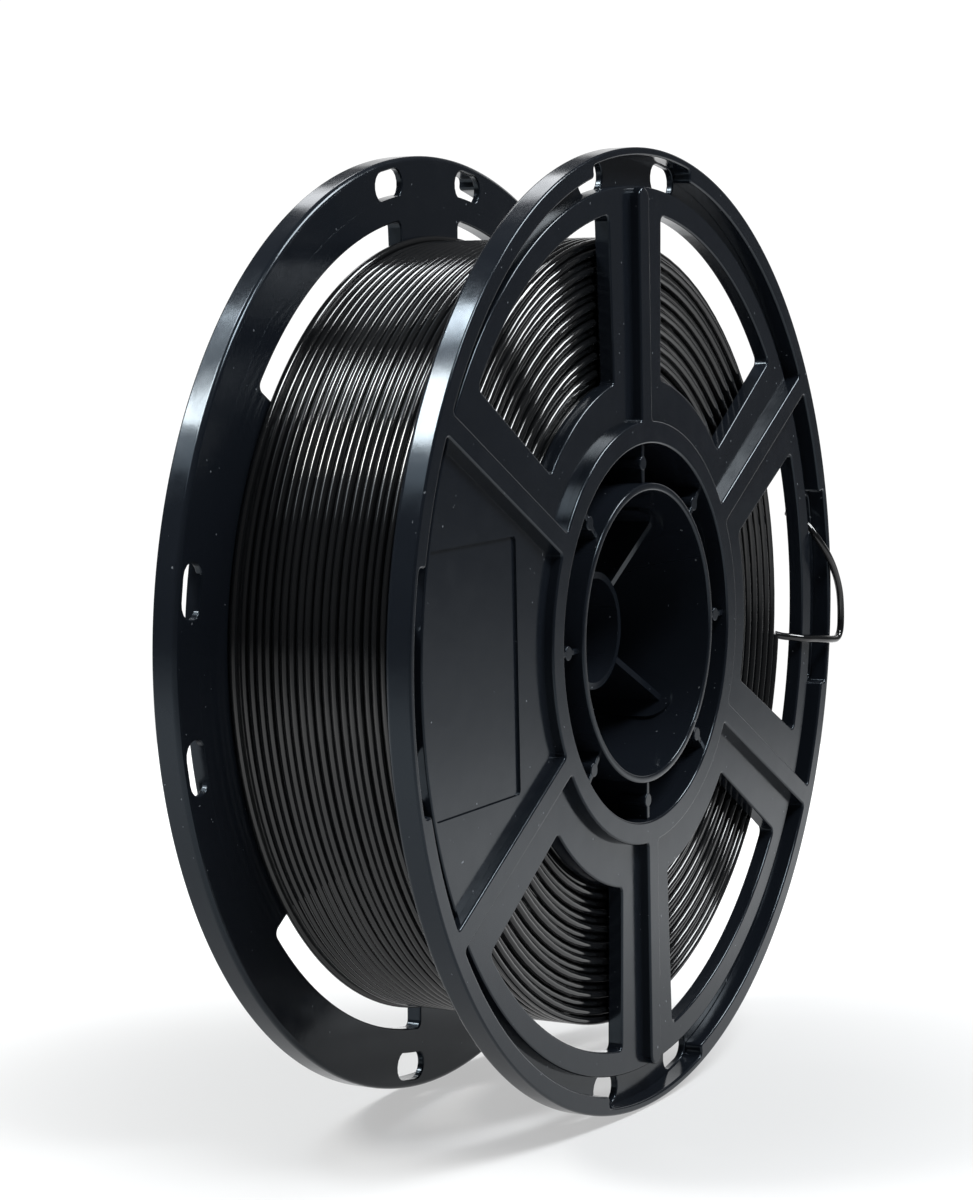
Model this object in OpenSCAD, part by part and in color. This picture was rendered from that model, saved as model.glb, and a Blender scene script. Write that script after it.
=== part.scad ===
// Filament spool: two moulded halves joined on a common axis, a core with a
// rod bore, and one strand of filament wound between the flanges.
// The axis of the spool is Y. X is to the right and Z is up.
// The origin is on the axis, half way between the two outer faces.
// Each half is drawn with its axis along Z and its outer face upwards, and
// is then turned onto the Y axis, so "height" below means distance from the
// middle plane towards an outer face.

/* [Spool] */
// Outer diameter of the flanges
flange_d = 200; // [160:1:240]
// Overall width over the two outer faces
spool_w = 56; // [48:1:90]
// Clear width between the flanges
winding_w = 45; // [38:0.5:78]

/* [Flange] */
// Height of the spoke ribs and the lip above the web
rib_h = 2.05; // [1:0.05:3]
// Depth of the groove inside the lip, below the web
groove_h = 1.85; // [0.8:0.05:2.2]
// Width of the lip seen from outside
lip_w = 4; // [3:0.1:5]
// Width of the lip where a pocket thins it
pocket_lip_w = 1.6; // [1.2:0.1:2.5]
// Radius where the web ends and the groove starts
web_r = 92.3; // [90:0.1:93]
// Inner radius of the windows
window_r_in = 53.3; // [50:0.1:60]
// Outer radius of the windows
window_r_out = 87.1; // [80:0.1:89]
// Width of a spoke's web band at the window's inner end
spoke_w_in = 22.2; // [18:0.2:26]
// Width of a spoke's web band at the window's outer end
spoke_w_out = 24.7; // [18:0.2:28]
// Width of the raised rib on each spoke
rib_w = 4.8; // [3:0.1:7]

/* [Strand slots] */
// Length of a slot along the rim
slot_l = 11; // [8:0.5:12]
// Width of a slot across the rim
slot_w = 6.1; // [4.5:0.1:6.2]
// Angle of each slot from the middle of its pocket
slot_angle = 10.2; // [9:0.1:12]

/* [Label recess] */
// Length of the recess along the radius
label_l = 33.8; // [20:0.1:34]
// Height of the recess
label_h = 50.2; // [30:0.1:51]
// Depth of the recess
label_depth = 0.5; // [0.2:0.1:1]

/* [Hub] */
// Outer radius of the raised hub ring
hub_ring_r = 44.2; // [43:0.1:50]
// Radius of the wall that the gap around the bore tube ends at
hub_gap_r = 39.4; // [36:0.1:40]
// Outer radius of the winding barrel
barrel_r = 41.6; // [41.2:0.1:43]
// Outer radius of the bore tube
bore_tube_r = 31.3; // [28:0.1:34]
// Inner radius of the bore tube
bore_r = 29.7; // [26:0.1:30]
// Number of gussets between the bore tube and the hub ring
gusset_count = 8; // [4:4:12]
// Depth of the gussets' edges below the end of the bore tube
gusset_drop = 1.1; // [1:0.1:4]

/* [Core] */
// Radius of the bore for a holder's rod
rod_bore_r = 11; // [8:0.1:11.5]
// Outer radius of the core tube
core_r = 12.4; // [12:0.1:14]
// Length of the core tube
core_l = 30; // [20:1:34]
// Angle between the two arms on the same side of the core tube
arm_spread = 83; // [60:1:90]

/* [Filament] */
// Diameter of the filament
strand_d = 1.75; // [1.75:1.1:2.85]
// Outer radius of the winding
winding_r = 82; // [60:0.5:90]

/* [Hidden] */

$fn = 180;
moulded = [0.06, 0.065, 0.075];
strand_black = [0.04, 0.042, 0.048];
eps = 0.5;
overrun = 0.4;                      // how far a window's sides run past its arcs, as a share

flange_r = flange_d / 2;
face_z = spool_w / 2;               // outer face: lip, ribs and hub ring
floor_z = winding_w / 2;            // inner face of the flange
web_z = face_z - rib_h;             // outer face of the web
groove_z = web_z - groove_h;        // floor of the groove inside the lip
lip_r = flange_r - lip_w;
pocket_r = flange_r - pocket_lip_w;
slot_r = web_r + slot_w / 2 - 0.3;  // radius of the slots' middle
spoke_count = 6;
spoke_step = 360 / spoke_count;
spoke_start = 30;
closed_sector = 180;                // direction of the sector with no window
pocket_angles = [0, 90, 180, 270];
label_margin = 3.4;                 // web left between the recess and the groove
edge_c = 0.4;                       // small chamfer on outer edges
spigot_l = 4;                       // overlap of the two barrels at the middle
spigot_gap = 0.1;
spigot_r = (hub_gap_r + barrel_r) / 2;
gusset_t = 1.2;
gusset_foot = 3;
pad_r = 1.5;                        // round pads on the gussets' edges
pad_h = 6;
arm_count = 4;                      // two arms on each side of the core tube
arm_lean = 5;                       // turn of the core between the halves
arm_t = 1.4;
arm_rise = 4;                       // how far an arm's edge climbs to the wall
tongue_t = 0.8;
tongue_w = 10;
tongue_end = face_z - 6.7;          // height of the tongues' round ends
tongue_r = bore_r - tongue_t;

// Places a half drawn along Z on the -Y side or the +Y side
module near_side() { rotate([90, 0, 0]) children(); }
module far_side() { mirror([0, 1, 0]) rotate([90, 0, 0]) children(); }

// A ring between two radii and two heights
module ring(r_in, r_out, z0, z1) {
    rotate_extrude() translate([r_in, z0]) square([r_out - r_in, z1 - z0]);
}

// A slot with round ends, its middle at radius r, along the rim
module slot_bar(a, z0, z1) {
    half = (slot_l - slot_w) / 2;
    rotate([0, 0, a]) translate([slot_r, 0, z0]) linear_extrude(z1 - z0) union() {
        square([slot_w, 2 * half], center = true);
        for (s = [-1, 1]) translate([0, s * half]) circle(d = slot_w);
    }
}

// Rim: a thin floor, the raised lip, four pockets and eight strand slots
module rim() {
    difference() {
        rotate_extrude() polygon([
            [web_r, floor_z], [flange_r - edge_c, floor_z], [flange_r, floor_z + edge_c],
            [flange_r, face_z - edge_c], [flange_r - edge_c, face_z], [lip_r, face_z],
            [lip_r, groove_z], [web_r, groove_z]]);
        for (a = pocket_angles) {
            rotate([0, 0, a - slot_angle]) rotate_extrude(angle = 2 * slot_angle)
                translate([lip_r - eps, groove_z])
                square([pocket_r - lip_r + eps, rib_h + groove_h + eps]);
            for (s = [-1, 1]) slot_bar(a + s * slot_angle, floor_z - eps, face_z + eps);
        }
    }
}

// Half of the angle that a window spans at radius r beside spokes of width w
function half_span(r, w) = spoke_step / 2 - asin(w / 2 / r);

// One window: two arcs, joined by sides beside the spokes
module window(a) {
    inner = half_span(window_r_in, spoke_w_in);
    outer = half_span(window_r_out, spoke_w_out);
    rotate([0, 0, a]) translate([0, 0, floor_z - eps])
        linear_extrude(web_z - floor_z + 2 * eps) intersection() {
            difference() {
                circle(r = window_r_out);
                circle(r = window_r_in);
            }
            polygon([for (end = [[-1, -overrun], [-1, 1 + overrun],
                                 [1, 1 + overrun], [1, -overrun]])
                let (p = window_r_in * [cos(inner), end[0] * sin(inner)],
                     q = window_r_out * [cos(outer), end[0] * sin(outer)])
                p + end[1] * (q - p)]);
        }
}

// Web: a disc between the hub ring and the groove, with five windows and,
// in the closed sector, a shallow recess for a label
module web() {
    difference() {
        ring(hub_ring_r, web_r, floor_z, web_z);
        for (k = [0 : spoke_count - 1])
            if (k * spoke_step != closed_sector) window(k * spoke_step);
        rotate([0, 0, closed_sector])
            translate([web_r - label_margin - label_l, -label_h / 2, web_z - label_depth])
            cube([label_l, label_h, label_depth + eps]);
    }
}

// Ribs: one on each spoke. The two that point at a pocket stop short of it
// with round ends, and the others cross the groove to the lip.
module spoke_ribs() {
    for (k = [0 : spoke_count - 1]) {
        a = spoke_start + k * spoke_step;
        short = a == 90 || a == 270;
        stop_r = web_r - rib_w / 2 - 0.4;
        rotate([0, 0, a]) difference() {
            translate([0, 0, groove_z]) linear_extrude(face_z - groove_z) union() {
                difference() {
                    translate([hub_ring_r - 2, -rib_w / 2])
                        square([(short ? stop_r : lip_r + 2) - hub_ring_r + 2, rib_w]);
                    circle(r = hub_ring_r);
                    if (!short) difference() {
                        circle(r = flange_r + eps);
                        circle(r = lip_r);
                    }
                }
                if (short) translate([stop_r, 0]) circle(d = rib_w);
            }
            translate([0, 0, groove_z - eps]) cylinder(r = web_r, h = web_z - groove_z + eps);
        }
    }
}

// Raised ring around the hub opening, level with the lip
module hub_ring() {
    rotate_extrude() polygon([
        [hub_gap_r, floor_z], [hub_ring_r, floor_z], [hub_ring_r, face_z - edge_c],
        [hub_ring_r - edge_c, face_z], [hub_gap_r + edge_c, face_z],
        [hub_gap_r, face_z - edge_c]]);
}

// Barrel halves that carry the winding. The near one has a spigot that
// fits inside a step in the far one.
module spigot_barrel() {
    rotate_extrude() polygon([
        [hub_gap_r, -spigot_l], [spigot_r, -spigot_l], [spigot_r, 0],
        [barrel_r, 0], [barrel_r, floor_z], [hub_gap_r, floor_z]]);
}
module socket_barrel() {
    rotate_extrude() polygon([
        [spigot_r + spigot_gap, 0], [barrel_r, 0], [barrel_r, floor_z],
        [hub_gap_r, floor_z], [hub_gap_r, spigot_l + spigot_gap],
        [spigot_r + spigot_gap, spigot_l + spigot_gap]]);
}

// Bore tube: from the middle plane to the outer face
module bore_tube() {
    rotate_extrude() polygon([
        [bore_r, 0], [bore_tube_r, 0], [bore_tube_r, face_z - edge_c],
        [bore_tube_r - edge_c, face_z], [bore_r + edge_c, face_z],
        [bore_r, face_z - edge_c]]);
}

// Gussets between the bore tube and the barrel, each with a round pad
module gussets() {
    top = face_z - gusset_drop;
    mid = (bore_tube_r + hub_gap_r) / 2;
    for (k = [0 : gusset_count - 1]) rotate([0, 0, k * 360 / gusset_count]) {
        difference() {
            translate([bore_tube_r - 1, -gusset_t / 2, spigot_l + gusset_foot])
                cube([hub_gap_r - bore_tube_r + 2, gusset_t, top - spigot_l - gusset_foot]);
            cylinder(r = bore_tube_r, h = face_z);
            ring(hub_gap_r, hub_gap_r + 3, 0, face_z);
        }
        translate([mid, 0, top - pad_h]) cylinder(r = pad_r, h = pad_h);
    }
}

// Core tube with the bore that a holder's rod goes through
module core_tube() {
    rotate([90, 0, 0]) rotate_extrude() polygon([
        [rod_bore_r, -core_l / 2], [core_r, -core_l / 2],
        [core_r, core_l / 2], [rod_bore_r, core_l / 2]]);
}

// Direction of each arm
function arm_angle(k) = arm_lean + (k < 2 ? 0 : 180) + (k % 2 == 0 ? 1 : -1) * arm_spread / 2;

// Arms from the core tube to the tongues, with edges that climb outwards
module core_arms() {
    half = core_l / 2;
    for (k = [0 : arm_count - 1])
        rotate([90, 0, 0]) rotate([0, 0, arm_angle(k)]) difference() {
            translate([0, arm_t / 2, 0]) rotate([90, 0, 0]) linear_extrude(arm_t)
                polygon([[core_r - 1, -half], [core_r, -half],
                         [tongue_r, -half - arm_rise], [tongue_r + 1, -half - arm_rise],
                         [tongue_r + 1, half + arm_rise], [tongue_r, half + arm_rise],
                         [core_r, half], [core_r - 1, half]]);
            cylinder(r = core_r, h = spool_w, center = true);
            ring(tongue_r, tongue_r + 3, -face_z, face_z);
        }
}

// Tongues at the arms' ends: strips with round ends against the bore's wall
module core_tongues() {
    flat = tongue_end - tongue_w / 2;
    for (k = [0 : arm_count - 1])
        rotate([90, 0, 0]) rotate([0, 0, arm_angle(k)]) intersection() {
            ring(tongue_r, bore_r, -face_z, face_z);
            translate([tongue_r - 4, 0, 0]) rotate([0, 90, 0]) linear_extrude(8) union() {
                square([2 * flat, tongue_w], center = true);
                for (s = [-1, 1]) translate([s * flat, 0]) circle(d = tongue_w);
            }
        }
}

// The wound filament, as the solid that its turns fill
module filament_winding() {
    rotate([90, 0, 0]) ring(barrel_r, winding_r, -winding_w / 2, winding_w / 2);
}

// Route of the loose end: out of the winding, through a window, over the
// lip, back in a small loop and through a slot
tail_route = [
    [81, -21.4, -10], [82, -22.9, -10.5], [83.4, -24.4, -10.8], [85.2, -25.9, -11.2],
    [87.4, -26.9, -11.6], [91, -27.7, -12], [95, -28.7, -12.5], [98.5, -29, -12.9],
    [100.5, -29, -12.9], [102, -29, -12.2], [103, -29, -10.6], [103.3, -29, -8],
    [103.2, -29, -5], [102.7, -29, -2.2], [101.4, -29, 0.6], [99, -29, 4],
    [96.4, -28.8, 7], [94.6, -28, 9.6], [93.6, -26.6, 12.2], [93.6, -24.6, 14.6],
    [94, -22, 16.3], [94.6, -19, 17.4]];

function unit(v) = v / norm(v);
function tangent(p, i) = unit(p[min(i + 1, len(p) - 1)] - p[max(i - 1, 0)]);

// A closed tube with n sides, one ring of points at each point of a route
module tube_along(p, d, n) {
    rings = [for (i = [0 : len(p) - 1])
        let (t = tangent(p, i), u = unit(cross(t, [0, 1, 0])), v = cross(t, u))
        for (k = [0 : n - 1])
            p[i] + d / 2 * (cos(360 * k / n) * u + sin(360 * k / n) * v)];
    sides = [for (i = [0 : len(p) - 2], k = [0 : n - 1])
        let (a = i * n + k, b = i * n + (k + 1) % n) each [[a, b, b + n], [a, b + n, a + n]]];
    last = (len(p) - 1) * n;
    ends = [[for (k = [n - 1 : -1 : 0]) k], [for (k = [0 : n - 1]) last + k]];
    polyhedron(rings, concat(sides, ends));
}

module near_rim() { color(moulded) near_side() rim(); }
module near_web() { color(moulded) near_side() web(); }
module near_spoke_ribs() { color(moulded) near_side() spoke_ribs(); }
module near_hub_ring() { color(moulded) near_side() hub_ring(); }
module near_barrel() { color(moulded) near_side() spigot_barrel(); }
module near_bore_tube() { color(moulded) near_side() bore_tube(); }
module near_gussets() { color(moulded) near_side() gussets(); }
module far_rim() { color(moulded) far_side() rim(); }
module far_web() { color(moulded) far_side() web(); }
module far_spoke_ribs() { color(moulded) far_side() spoke_ribs(); }
module far_hub_ring() { color(moulded) far_side() hub_ring(); }
module far_barrel() { color(moulded) far_side() socket_barrel(); }
module far_bore_tube() { color(moulded) far_side() bore_tube(); }
module far_gussets() { color(moulded) far_side() gussets(); }

near_rim();
near_web();
near_spoke_ribs();
near_hub_ring();
near_barrel();
near_bore_tube();
near_gussets();
far_rim();
far_web();
far_spoke_ribs();
far_hub_ring();
far_barrel();
far_bore_tube();
far_gussets();
color(moulded) core_tube();
color(moulded) core_arms();
color(moulded) core_tongues();
color(strand_black) filament_winding();
color(strand_black) tube_along(tail_route, strand_d, 8);  // filament_tail
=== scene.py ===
"""A filament spool with glossy black flanges and a winding of glossy black strand.

Lengths are in millimetres in the frame's coordinates until a mesh is made: the spool's axis
is Y, X is to the right and Z is up. Each half is drawn as outlines (x, z) with a height
above the middle plane, and is placed on the -Y side (near) or the +Y side (far).
"""
import math
import random

import bpy
from mathutils import Matrix, Vector
from mathutils.geometry import tessellate_polygon


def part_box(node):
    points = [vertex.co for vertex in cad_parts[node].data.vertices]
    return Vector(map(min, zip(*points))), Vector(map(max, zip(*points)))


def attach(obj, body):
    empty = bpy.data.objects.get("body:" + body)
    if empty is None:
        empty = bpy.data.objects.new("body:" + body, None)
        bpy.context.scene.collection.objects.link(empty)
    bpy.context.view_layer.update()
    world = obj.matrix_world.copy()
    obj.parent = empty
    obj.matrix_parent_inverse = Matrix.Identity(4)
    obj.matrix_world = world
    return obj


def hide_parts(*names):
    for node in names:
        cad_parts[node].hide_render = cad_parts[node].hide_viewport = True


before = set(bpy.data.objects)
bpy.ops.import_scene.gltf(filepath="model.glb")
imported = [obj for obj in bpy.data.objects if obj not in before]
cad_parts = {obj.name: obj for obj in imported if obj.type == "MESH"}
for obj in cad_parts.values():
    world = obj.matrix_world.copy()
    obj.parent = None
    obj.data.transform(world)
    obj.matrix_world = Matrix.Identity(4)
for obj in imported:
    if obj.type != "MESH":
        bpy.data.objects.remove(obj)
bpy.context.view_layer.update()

MM = 0.001
NEAR, FAR = -1, 1
SIDES = {"near": NEAR, "far": FAR}


def corner(node, which):
    """The lowest (0) or highest (1) corner of a CAD node, in millimetres."""
    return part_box(node)[which] / MM


# Driving sizes, from the frame
flange_r = min(-corner("near_rim", 0).x, corner("near_rim", 1).x, corner("near_rim", 1).z)
face_h = corner("far_rim", 1).y
floor_h = corner("far_rim", 0).y
web_h = corner("far_web", 1).y
winding_r = corner("filament_winding", 1).z
barrel_r = corner("far_barrel", 1).z
hub_ring_r = corner("far_hub_ring", 1).z
bore_tube_r = corner("far_bore_tube", 1).z
gusset_top = corner("far_gussets", 1).y

# The flange's features
groove_h = web_h - 1.85
lip_r = flange_r - 4
pocket_r = flange_r - 1.6
lip_corner_r, pocket_corner_r = 0.9, 1.1
web_r = 92.3
window_r_in, window_r_out = 53.3, 87.1
spoke_w_in, spoke_w_out = 22.2, 24.7
rib_w = 4.8
rib_stop_r = web_r - rib_w / 2 - 0.4
slot_l, slot_w, slot_angle = 11.0, 6.1, 10.2
slot_r = web_r + slot_w / 2 - 0.3
pocket_end = slot_angle + math.degrees(slot_l / 2 / slot_r)
window_corner_r = 1.3
label_x_in, label_x_out, label_half_h = -55.1, -88.3, 25.1
label_depth, label_corner_r = 0.5, 1.0
edge = 0.5
hidden_edge = 0.02

# The hub
hub_gap_r = 39.4
bore_r = 29.7
joint_half_gap = 0.1
gusset_half_t, gusset_bite, gusset_foot_h = 0.6, 0.6, 7
pad_r, pad_place_r, pad_drop = 1.5, 35.35, 6

# The strand: the winding's helix, its side turns, the high turn and the loose end
strand_d = 1.75
tail_d = 1.7
helix_turns = 23.5
side_turns, layer_rise, side_step = 22, 1.72, 0.75
side_gap = 0.30
high_turn_rise, high_turn_swing = 0.9, 0.35
body_margin = 2.6


# --- Outlines -----------------------------------------------------------------------------


def polar(r, a):
    """The point at a radius and an angle in degrees."""
    return Vector((r * math.cos(math.radians(a)), r * math.sin(math.radians(a))))


def sweep(r, a0, a1, ends=0.0, chord=2.6):
    """Points along an arc, each with a corner radius, which is `ends` at the two ends."""
    n = max(2, round(abs(math.radians(a1 - a0)) * r / chord))
    points = [(polar(r, a0 + (a1 - a0) * i / n), 0.0) for i in range(n + 1)]
    points[0] = (points[0][0], ends)
    points[-1] = (points[-1][0], ends)
    return points


def circle(r, n=240):
    return [polar(r, 360 * i / n) for i in range(n)]


def rounded(points, steps=5):
    """Replaces each corner that has a radius by an arc. points are (vector, radius)."""
    out = []
    n = len(points)
    for i, (p, r) in enumerate(points):
        if r <= 0:
            out.append(p)
            continue
        a = (points[i - 1][0] - p)
        b = (points[(i + 1) % n][0] - p)
        half = a.angle(b) / 2
        if half > math.radians(88):
            out.append(p)
            continue
        reach = min(r / math.tan(half), 0.9 * a.length, 0.9 * b.length)
        r = reach * math.tan(half)
        middle = p + (a.normalized() + b.normalized()).normalized() * (r / math.sin(half))
        start = p + a.normalized() * reach - middle
        end = p + b.normalized() * reach - middle
        turn = start.angle_signed(end)
        for k in range(steps + 1):
            t = -turn * k / steps
            c, s = math.cos(t), math.sin(t)
            out.append(middle + Vector((start.x * c - start.y * s, start.x * s + start.y * c)))
    return out


def stadium(centre, along, length, width, steps=8):
    """A slot with round ends, its length in the direction `along` in degrees."""
    half = (length - width) / 2
    points = []
    for end in (0, 180):
        for i in range(steps + 1):
            a = along + end - 90 + 180 * i / steps
            points.append(centre + polar(half, along + end) + polar(width / 2, a))
    return points


def window_outline(a):
    """A window between two spokes, with rounded corners."""
    spans = [30 - math.degrees(math.asin(w / 2 / r))
             for r, w in ((window_r_in, spoke_w_in), (window_r_out, spoke_w_out))]
    points = sweep(window_r_out, a - spans[1], a + spans[1], window_corner_r)
    points += sweep(window_r_in, a + spans[0], a - spans[0], window_corner_r)
    return rounded(points)


def rib_edge(r):
    """The angle between a rib's middle and its side, at a radius."""
    return math.degrees(math.asin(rib_w / 2 / r))


def lip_edge(a0, a1, pocket):
    """The lip's inner edge from a0 to a1, stepped outwards at the pocket."""
    start, end = pocket - pocket_end, pocket + pocket_end
    return (sweep(lip_r, a0, start, lip_corner_r)
            + sweep(pocket_r, start, end, pocket_corner_r)
            + sweep(lip_r, end, a1, lip_corner_r))


def frame_opening(a0, a1, pocket, short_rib):
    """One opening of the raised frame, between the ribs at a0 and a1. A short rib stands
    in the middle of the wide openings, and ends round before the pocket."""
    points = lip_edge(a0 + rib_edge(lip_r), a1 - rib_edge(lip_r), pocket)
    inner = rib_edge(hub_ring_r)
    if not short_rib:
        points += sweep(hub_ring_r, a1 - inner, a0 + inner, lip_corner_r)
        return rounded(points)
    points += sweep(hub_ring_r, a1 - inner, pocket + inner, lip_corner_r)
    tip = polar(rib_stop_r, pocket)
    points += [(tip + polar(rib_w / 2, pocket + 90 - 15 * i), 0.0) for i in range(13)]
    points += sweep(hub_ring_r, pocket - inner, a0 + inner, lip_corner_r)
    return rounded(points)


# --- Meshes -------------------------------------------------------------------------------


def make_object(name, vertices, faces, normals, material, nodes, flip=False):
    """A smooth mesh that rides on the frame. normals has one list of vectors for each face."""
    mesh = bpy.data.meshes.new(name)
    if flip:
        faces = [tuple(reversed(f)) for f in faces]
        normals = [list(reversed(n)) for n in normals]
    mesh.from_pydata([Vector(v) * MM for v in vertices], [], faces)
    mesh.polygons.foreach_set("use_smooth", [True] * len(faces))
    mesh.update()
    mesh.normals_split_custom_set([n for face in normals for n in face])
    obj = bpy.data.objects.new(name, mesh)
    bpy.context.scene.collection.objects.link(obj)
    mesh.materials.append(material)
    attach(obj, "root")
    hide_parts(*nodes)
    return obj


class Shape:
    """Vertices, faces and corner normals of one piece, in outline coordinates."""

    def __init__(self):
        self.vertices, self.faces, self.normals = [], [], []

    def add(self, vertices, faces, normals):
        base = len(self.vertices)
        self.vertices += vertices
        self.faces += [tuple(base + i for i in f) for f in faces]
        self.normals += normals

    def band(self, rings, ring_normals):
        """Quads between closed rings of points, with one normal for each point."""
        n = len(rings[0])
        vertices = [v for ring in rings for v in ring]
        flat = [v for ring in ring_normals for v in ring]
        faces = []
        for j in range(len(rings) - 1):
            for i in range(n):
                k = (i + 1) % n
                faces.append((j * n + i, j * n + k, (j + 1) * n + k, (j + 1) * n + i))
        self.add(vertices, faces, [[flat[i] for i in f] for f in faces])

    def cap(self, loops, height, up):
        """A face bounded by loops of 2D points, with holes. height may differ by point."""
        rings = [[Vector((p.x, p.y, 0)) for p in loop] for loop in loops]
        flat = [p for ring in rings for p in ring]
        normal = Vector((0, 0, 1 if up else -1))
        faces = []
        for a, b, c in tessellate_polygon(rings):
            area = (flat[b] - flat[a]).cross(flat[c] - flat[a]).z
            if abs(area) < 1e-9:
                continue
            faces.append((a, b, c) if (area > 0) == up else (a, c, b))
        heights = height if isinstance(height, list) else [height] * len(flat)
        vertices = [Vector((p.x, p.y, h)) for p, h in zip(flat, heights)]
        self.add(vertices, faces, [[normal] * 3 for _ in faces])

    def build(self, name, side, material, nodes, slot="moulded_black"):
        """Places the shape on its side of the middle plane and makes the object."""
        def place(v):
            return Vector((v[0], side * v[2], v[1]))

        vertices = [place(v) for v in self.vertices]
        normals = [[place(n) for n in face] for face in self.normals]
        return make_object(name, vertices, self.faces, normals, material, nodes,
                           flip=side == FAR)


def signed_area(loop):
    return sum(loop[i - 1].x * p.y - p.x * loop[i - 1].y for i, p in enumerate(loop)) / 2


def turned(loop, ccw):
    """The loop, running counterclockwise or clockwise."""
    return loop if (signed_area(loop) > 0) == ccw else loop[::-1]


def offsets(loop):
    """For each point the unit normal away from the material on the loop's left, and the
    offset that moves both neighbouring edges by one."""
    out = []
    n = len(loop)
    for i, p in enumerate(loop):
        a = (p - loop[i - 1]).normalized()
        b = (loop[(i + 1) % n] - p).normalized()
        na, nb = Vector((a.y, -a.x)), Vector((b.y, -b.x))
        normal = (na + nb).normalized()
        out.append((normal, normal / max(0.4, normal.dot(na))))
    return out


def edge_profile(low, high, low_r, r, steps=4):
    """(inset, height, outward share, upward share) up a wall with two rounded edges."""
    quarter = [math.pi / 2 * i / steps for i in range(steps + 1)]
    rows = [(low_r * (1 - math.sin(t)), low + low_r * (1 - math.cos(t)), math.sin(t),
             -math.cos(t)) for t in quarter]
    rows += [(r * (1 - math.cos(t)), high - r * (1 - math.sin(t)), math.cos(t), math.sin(t))
             for t in quarter]
    return rows


def moulding(outer, holes, low, high, r=edge, recess=None, outer_low_r=None, lift=0.0):
    """A plate between two heights with rounded edges round its outline and its holes.
    recess is (outline, depth), a sunk area in the upper face. outer_low_r is the radius of
    the outline's lower edge, and lift raises the lower side at the holes, where another
    plate hides it."""
    shape = Shape()
    loops = [turned(outer, True)] + [turned(h, False) for h in holes]
    tops, bottoms, heights = [], [], []
    for loop in loops:
        outline = loop is loops[0]
        bottom = low if outline else low + lift
        low_r = outer_low_r if outline and outer_low_r is not None else r
        moves = offsets(loop)
        rings, ring_normals = [], []
        for inset, height, out, up in edge_profile(bottom, high, low_r, r):
            rings.append([Vector((*(p - m * inset), height))
                          for p, (_, m) in zip(loop, moves)])
            ring_normals.append([Vector((*(n * out), up)) for n, _ in moves])
        shape.band(rings, ring_normals)
        tops.append([p - m * r for p, (_, m) in zip(loop, moves)])
        bottoms.append([p - m * low_r for p, (_, m) in zip(loop, moves)])
        heights += [bottom] * len(loop)
    shape.cap(bottoms, heights, False)
    if recess:
        loop, depth = turned(recess[0], False), recess[1]
        normals = [Vector((*n, 0)) for n, _ in offsets(loop)]
        shape.band([[Vector((*p, h)) for p in loop] for h in (high - depth, high)],
                   [normals, normals])
        shape.cap([turned(loop, True)], high - depth, True)
        tops.append(loop)
    shape.cap(tops, high, True)
    return shape


def lathe(profile, segments=240, r=0.3):
    """A ring: a closed profile of (radius, height) turned about the axis."""
    shape = Shape()
    loop = turned(rounded([(Vector(p), r) for p in profile], 4), True)
    normals = [n for n, _ in offsets(loop)]
    rings, ring_normals = [], []
    for p, n in zip(loop + loop[:1], normals + normals[:1]):
        turns = [polar(1, 360 * i / segments) for i in range(segments)]
        rings.append([Vector((*(p.x * t), p.y)) for t in turns])
        ring_normals.append([Vector((*(n.x * t), n.y)) for t in turns])
    shape.band(rings, ring_normals)
    return shape


def join(shapes):
    whole = Shape()
    for s in shapes:
        whole.add(s.vertices, s.faces, s.normals)
    return whole


# --- Camera and the loose end -------------------------------------------------------------

VIEW_AZIMUTH, VIEW_ELEVATION, VIEW_DISTANCE = -62.3154, 4.7241, 632.606
LENS, SENSOR_WIDTH = 89.30, 36
SHIFT_X, SHIFT_Y = -0.0377, 0.0233
SPIN = 2.4


def spin():
    """The spool is turned a little about its axis, so what stands around it turns back."""
    return Matrix.Rotation(math.radians(SPIN), 3, "Y")


def add_camera():
    data = bpy.data.cameras.new("camera")
    data.lens, data.sensor_width = LENS, SENSOR_WIDTH
    data.shift_x, data.shift_y = SHIFT_X, SHIFT_Y
    data.clip_start, data.clip_end = 0.01, 50
    az, el = math.radians(VIEW_AZIMUTH), math.radians(VIEW_ELEVATION)
    back = Vector((math.sin(az) * math.cos(el), -math.cos(az) * math.cos(el), math.sin(el)))
    right = Vector((math.cos(az), math.sin(az), 0))
    turn = spin()
    back, right = turn @ back, turn @ right
    up = back.cross(right)
    camera = bpy.data.objects.new("camera", data)
    camera.matrix_world = Matrix((right, up, back)).transposed().to_4x4()
    camera.location = back * VIEW_DISTANCE * MM
    bpy.context.scene.collection.objects.link(camera)
    bpy.context.scene.camera = camera


TAIL_ROUTE = [
    (81, -21.4, -10), (82, -22.9, -10.5), (83.4, -24.4, -10.8), (85.2, -25.9, -11.2),
    (87.4, -26.9, -11.6), (91, -27.7, -12), (95, -28.7, -12.5), (98.5, -29, -12.9),
    (100.5, -29, -12.9), (102, -29, -12.2), (103, -29, -10.6), (103.3, -29, -8),
    (103.2, -29, -5), (102.7, -29, -2.2), (101.4, -29, 0.6), (99, -29, 4),
    (96.4, -28.8, 7), (94.6, -28, 9.6), (93.6, -26.6, 12.2), (93.6, -24.6, 14.6),
    (94, -22, 16.3), (94.6, -19, 17.4)]


def smooth_route(points, steps=5):
    """A curve through the points (Catmull-Rom), in millimetres."""
    p = [Vector(q) for q in points]
    p = [2 * p[0] - p[1]] + p + [2 * p[-1] - p[-2]]
    out = []
    for i in range(1, len(p) - 2):
        a, b, c, d = p[i - 1:i + 3]
        for k in range(steps):
            t = k / steps
            out.append(0.5 * (2 * b + (c - a) * t + (2 * a - 5 * b + 4 * c - d) * t ** 2
                              + (3 * b - a - 3 * c + d) * t ** 3))
    return out + [p[-2]]


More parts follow.
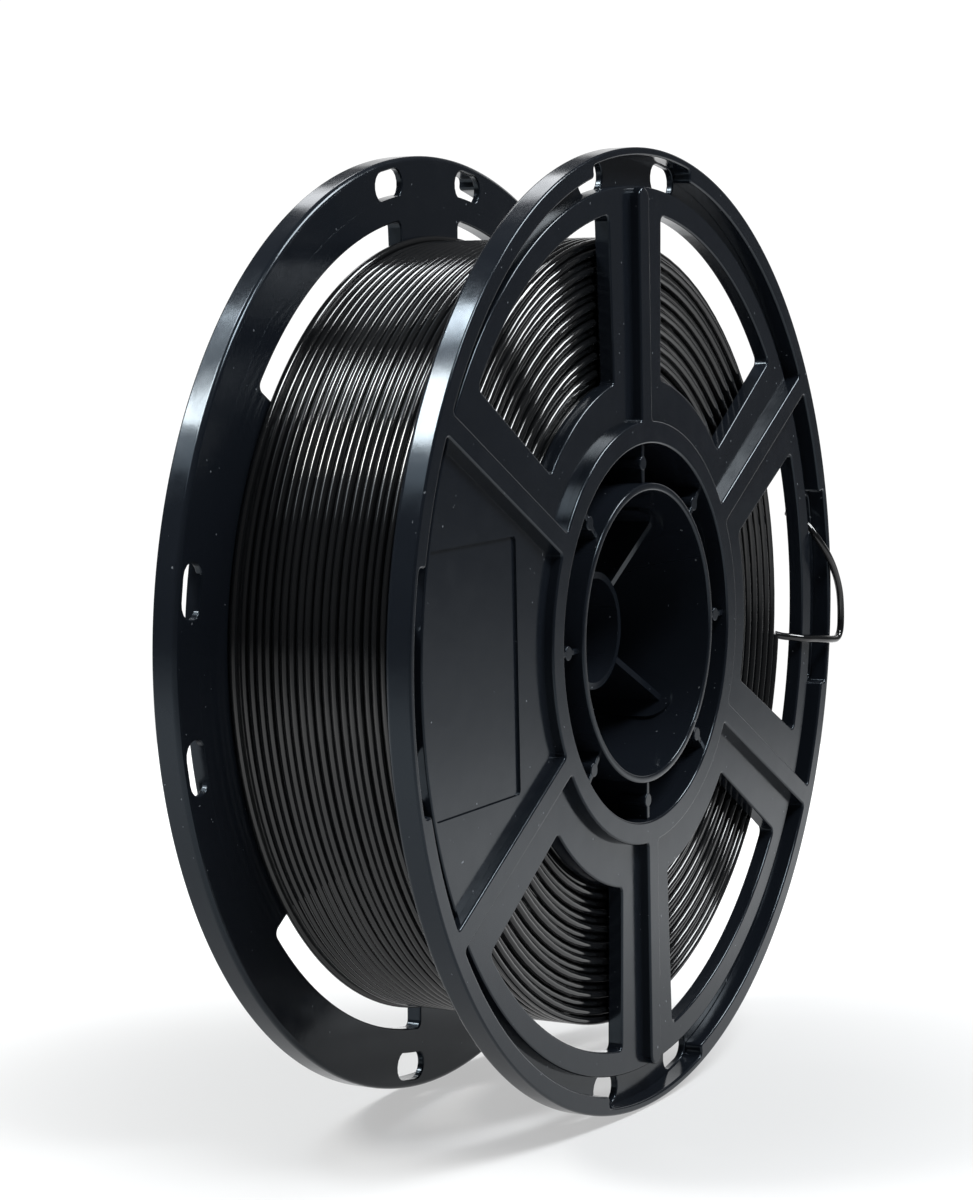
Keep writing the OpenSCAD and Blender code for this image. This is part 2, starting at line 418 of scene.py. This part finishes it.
def add_tail(material):
    """The loose end: out through a window, over the lip in a small loop and into a slot."""
    diameter = tail_d
    points = smooth_route(TAIL_ROUTE)
    data = bpy.data.curves.new("strand_tail", "CURVE")
    data.dimensions = "3D"
    data.bevel_depth = diameter / 2 * MM
    data.bevel_resolution = 5
    data.use_fill_caps = True
    spline = data.splines.new("POLY")
    spline.points.add(len(points) - 1)
    for point, p in zip(spline.points, points):
        point.co = (*(p * MM), 1)
    spline.use_smooth = True
    data.materials.append(material)
    tail = bpy.data.objects.new("strand_tail", data)
    bpy.context.scene.collection.objects.link(tail)
    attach(tail, "root")
    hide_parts("filament_tail")


# --- Materials ----------------------------------------------------------------------------


def new_material(name):
    material = bpy.data.materials.new(name)
    material.use_nodes = True
    tree = material.node_tree
    return material, tree, tree.nodes["Principled BSDF"]


def noise_node(tree, scale, detail):
    """3D noise in the object's own coordinates, with `scale` in features for each metre."""
    coords = tree.nodes.new("ShaderNodeTexCoord")
    texture = tree.nodes.new("ShaderNodeTexNoise")
    texture.inputs["Scale"].default_value = scale
    texture.inputs["Detail"].default_value = detail
    tree.links.new(coords.outputs["Object"], texture.inputs["Vector"])
    return texture


def ramp_node(tree, source, stops):
    """A ramp of greys. stops are (position, grey)."""
    ramp = tree.nodes.new("ShaderNodeValToRGB")
    while len(ramp.color_ramp.elements) < len(stops):
        ramp.color_ramp.elements.new(0.5)
    for element, (at, grey) in zip(ramp.color_ramp.elements, stops):
        element.position = at
        element.color = (grey, grey, grey, 1)
    tree.links.new(source, ramp.inputs["Fac"])
    return ramp


def bump_node(tree, source, strength, distance):
    bump = tree.nodes.new("ShaderNodeBump")
    bump.inputs["Strength"].default_value = strength
    bump.inputs["Distance"].default_value = distance
    tree.links.new(source, bump.inputs["Height"])
    return bump


def moulded_material():
    """Bluish black moulded plastic, glossy, with a faint ripple and a few specks of dust."""
    material, tree, shader = new_material("moulded_plastic")
    shader.inputs["IOR"].default_value = 1.45
    shader.inputs["Specular IOR Level"].default_value = 0.30
    shader.inputs["Specular Tint"].default_value = (0.74, 0.88, 1.0, 1)
    ripple = noise_node(tree, 160, 3)
    grain = noise_node(tree, 2600, 2)
    dust = noise_node(tree, 900, 1)
    specks = ramp_node(tree, dust.outputs["Fac"], [(0.0, 0), (0.785, 0), (0.805, 1)])
    colour = tree.nodes.new("ShaderNodeMix")
    colour.data_type = "RGBA"
    factor, plastic, speck = colour.inputs[0], colour.inputs[6], colour.inputs[7]
    plastic.default_value = (0.0052, 0.0066, 0.0092, 1)
    speck.default_value = (0.10, 0.11, 0.12, 1)
    tree.links.new(specks.outputs["Color"], factor)
    tree.links.new(colour.outputs[2], shader.inputs["Base Color"])
    rough = ramp_node(tree, ripple.outputs["Fac"], [(0.35, 0.12), (0.7, 0.19)])
    tree.links.new(rough.outputs["Color"], shader.inputs["Roughness"])
    wave = bump_node(tree, ripple.outputs["Fac"], 0.05, 0.0006)
    fine = bump_node(tree, grain.outputs["Fac"], 0.03, 0.00004)
    tree.links.new(wave.outputs["Normal"], fine.inputs["Normal"])
    tree.links.new(fine.outputs["Normal"], shader.inputs["Normal"])
    return material


def strand_material():
    """Black extruded filament, smoother than the moulding, with a slow change of sheen."""
    material, tree, shader = new_material("strand_plastic")
    shader.inputs["IOR"].default_value = 1.47
    shader.inputs["Base Color"].default_value = (0.0042, 0.0045, 0.0050, 1)
    sheen = noise_node(tree, 60, 3)
    rough = ramp_node(tree, sheen.outputs["Fac"], [(0.3, 0.07), (0.7, 0.13)])
    tree.links.new(rough.outputs["Color"], shader.inputs["Roughness"])
    grain = noise_node(tree, 1800, 2)
    fine = bump_node(tree, grain.outputs["Fac"], 0.04, 0.00003)
    tree.links.new(fine.outputs["Normal"], shader.inputs["Normal"])
    return material


# --- The two halves -----------------------------------------------------------------------


def raised_frame():
    """The lip, the ribs and the hub ring, which are one level surface."""
    openings = [frame_opening(330, 390, 360, False), frame_opening(30, 150, 90, True),
                frame_opening(150, 210, 180, False), frame_opening(210, 330, 270, True)]
    return moulding(circle(flange_r, 360), openings + [circle(hub_gap_r, 160)],
                    floor_h, face_h, outer_low_r=1.1, lift=1.3)


def web_plate():
    """The web with its five windows and the label recess in the closed sector."""
    corners = [(label_x_out, -label_half_h), (label_x_in, -label_half_h),
               (label_x_in, label_half_h), (label_x_out, label_half_h)]
    recess = rounded([(Vector(c), label_corner_r) for c in corners])
    windows = [window_outline(a) for a in (0, 60, 120, 240, 300)]
    return moulding(circle(web_r, 300), windows + [circle(hub_gap_r + 1.5, 160)],
                    floor_h, web_h, 0.45, recess=(recess, label_depth),
                    outer_low_r=hidden_edge)


def groove_floor():
    """The thin floor outside the web, with the eight strand slots."""
    slots = [stadium(polar(slot_r, p + s * slot_angle), p + s * slot_angle + 90,
                     slot_l, slot_w)
             for p in (0, 90, 180, 270) for s in (-1, 1)]
    return moulding(circle(flange_r - 1.0, 300), slots + [circle(web_r - 0.8, 240)],
                    floor_h + 0.01, groove_h, 0.35, outer_low_r=hidden_edge)


def barrel_wall():
    """Half of the barrel under the winding, from the joint into the hub ring."""
    top = floor_h + 2
    return lathe([(hub_gap_r, joint_half_gap), (barrel_r, joint_half_gap),
                  (barrel_r, top), (hub_gap_r + 0.03, top)])


def bore_wall():
    """Half of the bore tube, from the joint to the outer face."""
    return lathe([(bore_r, joint_half_gap), (bore_tube_r, joint_half_gap),
                  (bore_tube_r, face_h), (bore_r, face_h)], r=0.4)


def gusset_ring():
    """Eight gussets across the gap, each with a round pad on its edge."""
    inner, outer = bore_tube_r - gusset_bite, hub_gap_r + gusset_bite
    shapes = []
    for k in range(8):
        a = 45 * k
        along, across = polar(1, a), polar(1, a + 90)
        corners = [along * r + across * s for r, s in
                   ((inner, -gusset_half_t), (outer, -gusset_half_t),
                    (outer, gusset_half_t), (inner, gusset_half_t))]
        shapes.append(moulding(rounded([(c, 0.3) for c in corners], 3), [],
                               gusset_foot_h, gusset_top - 0.05, 0.2))
        pad = [along * pad_place_r + p for p in circle(pad_r, 24)]
        shapes.append(moulding(pad, [], gusset_top - pad_drop, gusset_top, 0.25))
    return join(shapes)


def add_half(name, material):
    """One half of the spool, near or far, as six pieces."""
    side = SIDES[name]
    for shape, piece, nodes in (
            (raised_frame(), "lip_ribs_and_hub_ring", ["rim", "spoke_ribs", "hub_ring"]),
            (web_plate(), "web_plate", ["web"]),
            (groove_floor(), "groove_floor", []),
            (barrel_wall(), "barrel_wall", ["barrel"]),
            (bore_wall(), "bore_wall", ["bore_tube"]),
            (gusset_ring(), "gusset_ring", ["gussets"])):
        shape.build(f"{name}_{piece}", side, material, [f"{name}_{n}" for n in nodes])


def dress_core(material):
    """The core keeps its CAD pieces, with rounded edges."""
    for node in ("core_tube", "core_arms", "core_tongues"):
        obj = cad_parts[node]
        obj.data.materials.clear()
        obj.data.materials.append(material)
        bevel = obj.modifiers.new("rounded edges", "BEVEL")
        bevel.width = 0.2 * MM
        bevel.segments = 3
        bevel.limit_method = "ANGLE"
        bevel.angle_limit = math.radians(40)
        bevel.harden_normals = True


# --- The winding --------------------------------------------------------------------------


def tube(shape, centres, radius, sides=10, closed=False):
    """A strand round the axis. centres are (angle, radius, height); angles in radians."""
    rings, ring_normals = [], []
    for a, r, h in centres:
        out = Vector((math.cos(a), math.sin(a), 0))
        up = Vector((0, 0, 1))
        dirs = [math.cos(t) * out + math.sin(t) * up
                for t in (2 * math.pi * i / sides for i in range(sides))]
        rings.append([out * r + up * h + d * radius for d in dirs])
        ring_normals.append(dirs)
    if closed:
        rings.append(rings[0])
        ring_normals.append(ring_normals[0])
    shape.band([r[::-1] for r in rings], [n[::-1] for n in ring_normals])
    return shape


def wander(rng, size, waves=3):
    """A small smooth change round the axis, the same after a full turn."""
    parts = [(rng.uniform(0.3, 1) * size / waves, w, rng.uniform(0, 2 * math.pi))
             for w in range(1, waves + 1)]
    return lambda a: sum(s * math.sin(w * a + p) for s, w, p in parts)


def helix(rng, outer, reach, steps=180):
    """The outside turns, wound towards the near side, where the loose end leaves them.
    Heights are positive towards the far side."""
    end_angle = math.atan2(TAIL_ROUTE[0][2], TAIL_ROUTE[0][0])
    start_angle = end_angle - 2 * math.pi * helix_turns
    bumps = wander(rng, 0.10, 4)
    centres = []
    for i in range(round(steps * helix_turns) + 1):
        t = i / (steps * helix_turns)
        a = start_angle + 2 * math.pi * helix_turns * t
        drift = 0.10 * math.sin(a * 0.37) + 0.06 * math.sin(a * 1.13 + 1)
        fade = math.sin(math.pi * t) ** 0.5 if 0 < t < 1 else 0
        height = -reach + 2 * reach * t + drift * fade
        centres.append((a, outer + 0.06 * bumps(a * 0.9), -height))
    return centres


def high_turn(rng, outer, reach, steps=180):
    """One turn at the far side that rides on the others."""
    sway = wander(rng, 0.25)
    return [(a, outer + high_turn_rise + high_turn_swing * math.sin(a) + sway(a),
             reach - 0.1) for a in (2 * math.pi * i / steps for i in range(steps))]


def side_ring(rng, k, side, ring_r, reach, steps=96):
    """The turn of layer k at one side. Every second layer lies further in."""
    back = 0.0 if k % 2 else side_step
    move, lift = wander(rng, 0.30), wander(rng, 0.20)
    centres = []
    for i in range(steps):
        a = 2 * math.pi * i / steps
        height = reach - side_gap - back - abs(lift(a))
        centres.append((a, ring_r + move(a), side * height))
    return centres


def add_winding(material):
    """One strand: a helix on the outside, the turns that show at each side, and a body."""
    rng = random.Random(7)
    r = strand_d / 2
    outer = winding_r - r
    reach = floor_h - r
    whole = Shape()
    tube(whole, helix(rng, outer, reach), r, 14)
    tube(whole, high_turn(rng, outer, reach), r, 14, closed=True)
    for side in (NEAR, FAR):
        for k in range(side_turns):
            ring_r = outer - 0.1 - layer_rise * k
            if ring_r - r < barrel_r:
                break
            tube(whole, side_ring(rng, k, side, ring_r, reach), r, 10, closed=True)
    body_in, body_out, body_h = barrel_r - 0.5, outer - 0.35, floor_h - body_margin
    body = lathe([(body_in, -body_h), (body_out, -body_h), (body_out, body_h),
                  (body_in, body_h)])
    whole = join([whole, body])
    whole.build("strand_winding", FAR, material, ["filament_winding"], "filament_black")


# --- Stage --------------------------------------------------------------------------------

# In metres, in the room's own directions
FLOOR_UP = -0.1005
WORLD_STRENGTH = 0.10

# Soft boxes: place as (to the side, ahead, up), width, height, power and colour
LAMPS = {
    "key_box": ((-0.81, -0.32, 0.91), 0.26, 0.30, 14, (1.0, 0.99, 0.96)),
    "high_box": ((-0.634, 0.04, 1.114), 0.16, 0.18, 3.2, (0.90, 0.96, 1.0)),
    "key_glow": ((-0.85, -0.30, 1.0), 0.9, 0.8, 8, (0.85, 0.93, 1.0)),
    "front_top_box": ((0.42, -0.50, 1.0), 0.34, 0.30, 12, (0.95, 0.98, 1.0)),
    "right_box": ((0.80, 0.15, 0.88), 0.45, 0.40, 14, (0.95, 0.98, 1.0)),
    "back_top_box": ((-0.20, 0.77, 0.83), 0.26, 0.22, 0.9, (0.97, 0.98, 1.0)),
}


def glow_material(name, strength):
    material = bpy.data.materials.new(name)
    material.use_nodes = True
    tree = material.node_tree
    tree.nodes.clear()
    glow = tree.nodes.new("ShaderNodeEmission")
    glow.inputs["Color"].default_value = (1, 1, 1, 1)
    glow.inputs["Strength"].default_value = strength
    out = tree.nodes.new("ShaderNodeOutputMaterial")
    tree.links.new(glow.outputs[0], out.inputs["Surface"])
    return material


def panel(name, centre, facing, width, height, material):
    """A flat panel in the room's coordinates, in metres, facing a direction."""
    mesh = bpy.data.meshes.new(name)
    x, y = width / 2, height / 2
    mesh.from_pydata([(-x, -y, 0), (x, -y, 0), (x, y, 0), (-x, y, 0)], [], [(0, 1, 2, 3)])
    if material:
        mesh.materials.append(material)
    obj = bpy.data.objects.new(name, mesh)
    turn = spin()
    direction = turn @ Vector(facing)
    obj.matrix_world = direction.to_track_quat("Z", "Y").to_matrix().to_4x4()
    obj.location = turn @ Vector(centre)
    bpy.context.scene.collection.objects.link(obj)
    bpy.context.view_layer.update()
    return obj


def lamp(name, centre, width, height, power, colour):
    """A soft box in the room's coordinates, in metres, aimed at the spool."""
    data = bpy.data.lights.new(name, "AREA")
    data.shape = "RECTANGLE"
    data.size, data.size_y = width, height
    data.energy = power
    data.color = colour
    obj = bpy.data.objects.new(name, data)
    position = spin() @ Vector(centre)
    obj.matrix_world = position.to_track_quat("Z", "Y").to_matrix().to_4x4()
    obj.location = position
    bpy.context.scene.collection.objects.link(obj)


def floor_material(painted_shadow_centre):
    """A pale floor that glows: a painted pool of light, white round the spool and falling off
    into the room, with a painted contact shadow, softly darker, where the spool stands."""
    material, tree, shader = new_material("pale_floor")
    shader.inputs["Base Color"].default_value = (0.25, 0.25, 0.25, 1)
    shader.inputs["Roughness"].default_value = 0.9
    shader.inputs["Specular IOR Level"].default_value = 0.0
    shader.inputs["Emission Color"].default_value = (1, 1, 1, 1)
    coords = tree.nodes.new("ShaderNodeTexCoord")
    parts = []
    # Two emission falloffs, multiplied: a painted pool of light round the floor's middle and a
    # painted contact shadow round the spool
    for centre, start, end, low, high in (
            ((0, 0, 0), 0.45, 0.85, 0.93, 0.09), (painted_shadow_centre, 0.05, 0.26, 0.50, 1.0)):
        distance = tree.nodes.new("ShaderNodeVectorMath")
        distance.operation = "DISTANCE"
        distance.inputs[1].default_value = centre
        tree.links.new(coords.outputs["Object"], distance.inputs[0])
        fall = tree.nodes.new("ShaderNodeMapRange")
        fall.interpolation_type = "SMOOTHSTEP"
        fall.inputs["From Min"].default_value = start
        fall.inputs["From Max"].default_value = end
        fall.inputs["To Min"].default_value = low
        fall.inputs["To Max"].default_value = high
        tree.links.new(distance.outputs["Value"], fall.inputs["Value"])
        parts.append(fall)
    glow = tree.nodes.new("ShaderNodeMath")
    glow.operation = "MULTIPLY"
    tree.links.new(parts[0].outputs["Result"], glow.inputs[0])
    tree.links.new(parts[1].outputs["Result"], glow.inputs[1])
    tree.links.new(glow.outputs["Value"], shader.inputs["Emission Strength"])
    return material


def add_world():
    world = bpy.data.worlds.new("world")
    world.use_nodes = True
    background = world.node_tree.nodes["Background"]
    background.inputs["Color"].default_value = (1, 1, 1, 1)
    background.inputs["Strength"].default_value = WORLD_STRENGTH
    bpy.context.scene.world = world


def add_stage():
    """The world, a white backdrop, the floor and the lamps."""
    bpy.context.scene.view_settings.view_transform = "Standard"
    add_world()
    az = math.radians(VIEW_AZIMUTH)
    ahead = Vector((-math.sin(az), math.cos(az), 0))
    side = Vector((math.cos(az), math.sin(az), 0))
    up = Vector((0, 0, 1))
    panel("backdrop", ahead * 0.62 + up * 0.10, -ahead, 1.1, 0.52,
          glow_material("backdrop_white", 1.05))
    floor_middle = ahead * 0.30 - side * 0.20
    floor = panel("floor", floor_middle + up * FLOOR_UP, up, 6, 6, None)
    # The spot under the spool, where the floor's painted contact shadow is centred
    spool_spot = floor.matrix_world.inverted() @ (spin() @ Vector((0, 0, FLOOR_UP)))
    floor.data.materials.append(floor_material(spool_spot))
    for name, (place, width, height, power, colour) in LAMPS.items():
        centre = side * place[0] + ahead * place[1] + up * place[2]
        lamp(name, centre, width, height, power, colour)


moulded = moulded_material()
strand = strand_material()
add_camera()
add_tail(strand)
for half in SIDES:
    add_half(half, moulded)
dress_core(moulded)
add_winding(strand)
add_stage()
